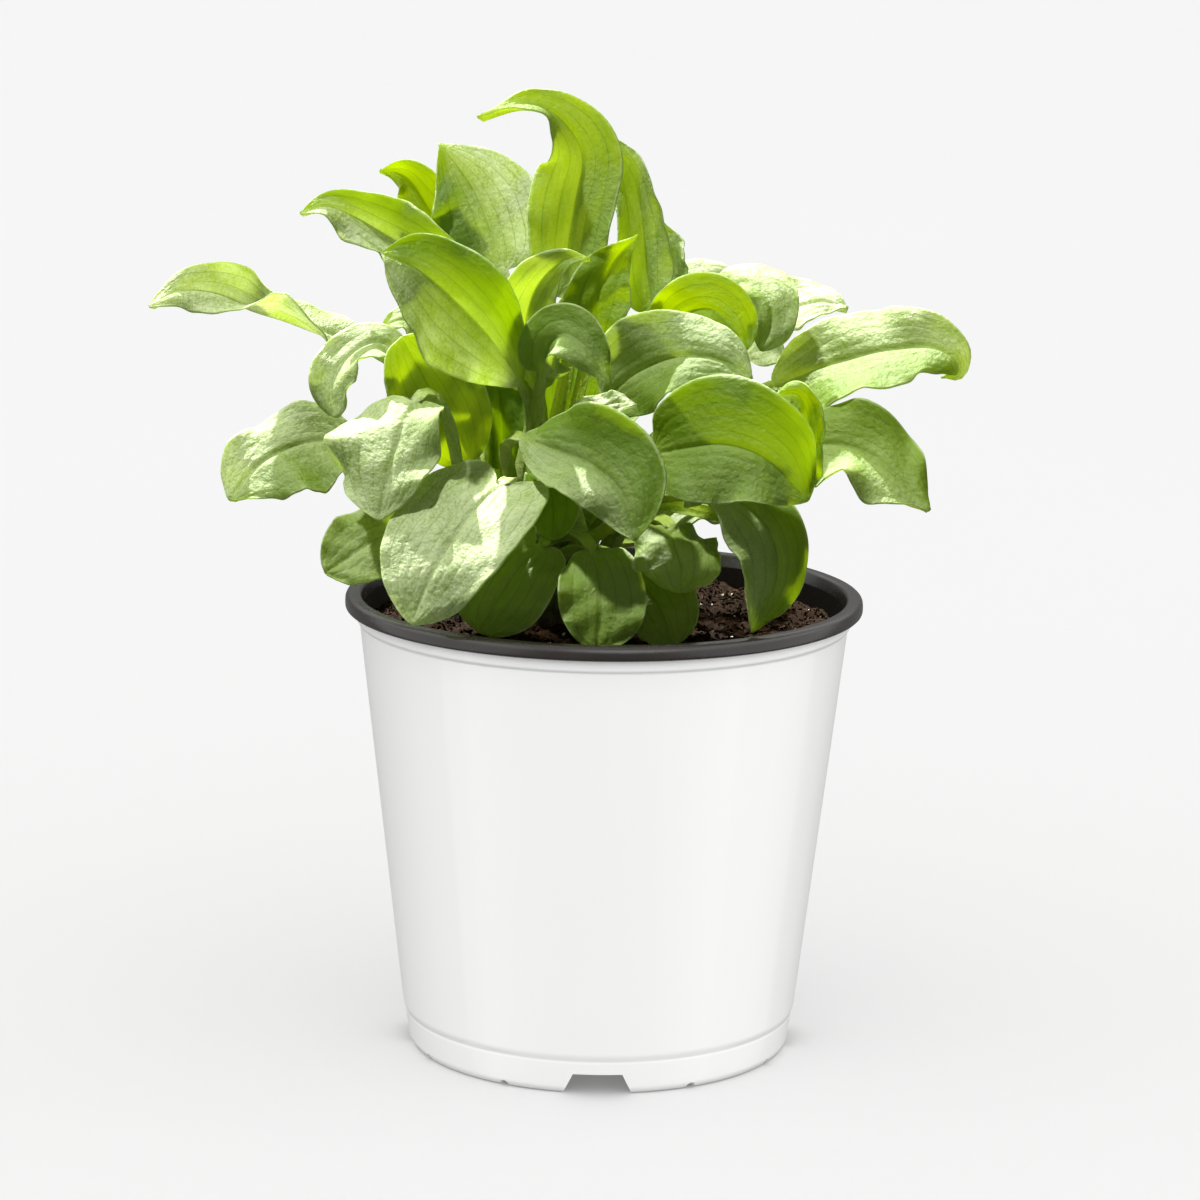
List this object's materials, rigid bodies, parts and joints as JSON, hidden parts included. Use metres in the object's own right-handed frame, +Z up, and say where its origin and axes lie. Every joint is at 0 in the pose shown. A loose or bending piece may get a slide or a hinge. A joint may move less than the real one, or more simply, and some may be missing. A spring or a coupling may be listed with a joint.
{
  "type": "potted hosta",
  "caption": "Young broad-leaved hosta with arching, pointed leaves in a round tapered nursery pot with a dark rolled rim, potting mix and a notched foot ring.",
  "frame": {"origin": "centre of the whole plant's bounding box at the underside of the pot's foot ring", "axes": "+Z up out of the pot, -Y towards the front of the plant, +X to the plant's right seen from the front"},
  "size_m": [0.258, 0.165, 0.3045],
  "materials": {
    "pot": "satin moulded plastic, dark grey inner layer rolled over the rim",
    "crown": "fibrous brown rootstock",
    "soil": "damp crumbly peat and bark",
    "leaf": "soft satin leaf with sunken parallel veins"
  },
  "bodies": {
    "root": {"pot": "pot", "crown": "crown", "soil": "soil", "leaf_far_left": "leaf", "leaf_upper_left": "leaf", "leaf_back_curl": "leaf", "leaf_back_pointed": "leaf", "leaf_big_left": "leaf", "leaf_centre_cup": "leaf", "leaf_tallest": "leaf", "leaf_behind_tallest": "leaf", "leaf_back_small": "leaf", "leaf_centre_lime": "leaf", "leaf_round_lime": "leaf", "leaf_right_nod": "leaf", "leaf_right_long": "leaf", "leaf_back_right": "leaf", "leaf_far_right": "leaf", "leaf_right_low": "leaf", "leaf_mid_right": "leaf", "leaf_big_right": "leaf", "leaf_lime_curl": "leaf", "leaf_front_centre": "leaf", "leaf_right_droop": "leaf", "leaf_small_curl": "leaf", "leaf_front_heart": "leaf", "leaf_left_front": "leaf", "leaf_left_low": "leaf", "leaf_left_arch": "leaf", "leaf_left_upright": "leaf", "leaf_left_inner": "leaf", "leaf_low_left": "leaf", "leaf_front_low_left": "leaf", "leaf_front_low_mid": "leaf", "leaf_front_low_right": "leaf", "leaf_front_inner": "leaf", "leaf_centre_nod": "leaf", "leaf_centre_pale": "leaf", "leaf_inner_left": "leaf", "leaf_inner_back": "leaf", "leaf_back_spread": "leaf", "leaf_back_low_left": "leaf", "leaf_back_low_right": "leaf", "leaf_back_fall": "leaf"}
  },
  "joints": []
}
